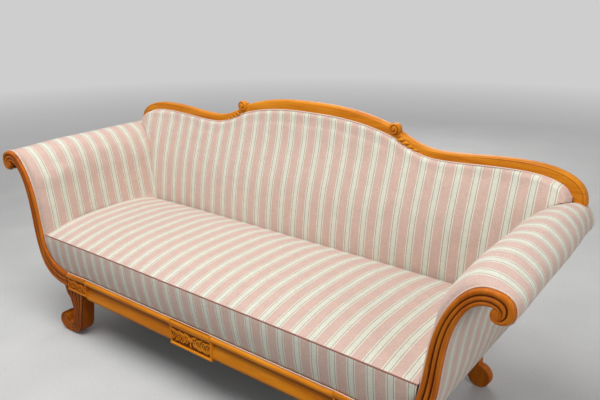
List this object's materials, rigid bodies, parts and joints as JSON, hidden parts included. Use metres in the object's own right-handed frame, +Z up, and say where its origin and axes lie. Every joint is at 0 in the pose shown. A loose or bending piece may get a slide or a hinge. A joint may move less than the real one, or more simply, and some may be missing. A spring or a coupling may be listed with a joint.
{
  "type": "sofa",
  "caption": "Long sofa with outward scrolled arms, a serpentine crest rail, carved tablets, scroll legs and striped upholstery over a sprung seat.",
  "frame": {"origin": "on the floor, under the middle of the length and of the depth", "axes": "+X along the length towards the right-hand arm as seen from the front, +Y from the front to the back, +Z up"},
  "size_m": [2.269, 0.738, 0.965],
  "materials": {
    "show_wood": "French-polished golden birch",
    "leg_wood": "polished red-brown birch",
    "striped_cover": "ribbed cotton and silk cloth with pink, cream and grey-green stripes",
    "jute": "woven jute",
    "braid": "narrow woven braid",
    "steel": "plain steel",
    "dust_cloth": "black calico",
    "frame_wood": "unfinished beech and pine"
  },
  "bodies": {
    "root": {"front_rail": "show_wood", "centre_tablet": "show_wood", "corner_tablet_left": "show_wood", "corner_tablet_right": "show_wood", "front_leg_left": "leg_wood", "front_leg_right": "leg_wood", "rear_leg_left": "leg_wood", "rear_leg_right": "leg_wood", "arm_facing_left": "show_wood", "arm_facing_right": "show_wood", "crest_centre": "show_wood", "crest_left": "show_wood", "crest_right": "show_wood", "crest_scroll_left": "show_wood", "crest_scroll_right": "show_wood", "rear_rail": "frame_wood", "end_rail_left": "frame_wood", "end_rail_right": "frame_wood", "seat_stretchers": "frame_wood", "corner_blocks": "frame_wood", "back_post_left": "frame_wood", "back_post_right": "frame_wood", "back_stiles": "frame_wood", "back_tuck_rail": "frame_wood", "arm_front_board_left": "frame_wood", "arm_front_board_right": "frame_wood", "arm_rear_board_left": "frame_wood", "arm_rear_board_right": "frame_wood", "arm_roll_rail_left": "frame_wood", "arm_roll_rail_right": "frame_wood", "arm_tuck_rail_left": "frame_wood", "arm_tuck_rail_right": "frame_wood", "seat_webbing": "jute", "seat_springs": "steel", "spring_hessian": "jute", "back_webbing": "jute", "back_hessian": "jute", "arm_hessian_left": "jute", "arm_hessian_right": "jute", "seat_pad": "striped_cover", "back_pad": "striped_cover", "arm_pad_left": "striped_cover", "arm_pad_right": "striped_cover", "outside_arm_left": "striped_cover", "outside_arm_right": "striped_cover", "outside_back": "striped_cover", "dust_cover": "dust_cloth", "seat_braid": "braid", "arm_braid_left": "braid", "arm_braid_right": "braid", "crest_braid": "braid", "leg_dowels": "frame_wood", "rail_dowels": "frame_wood", "facing_screws": "steel", "block_screws": "steel"}
  },
  "joints": []
}
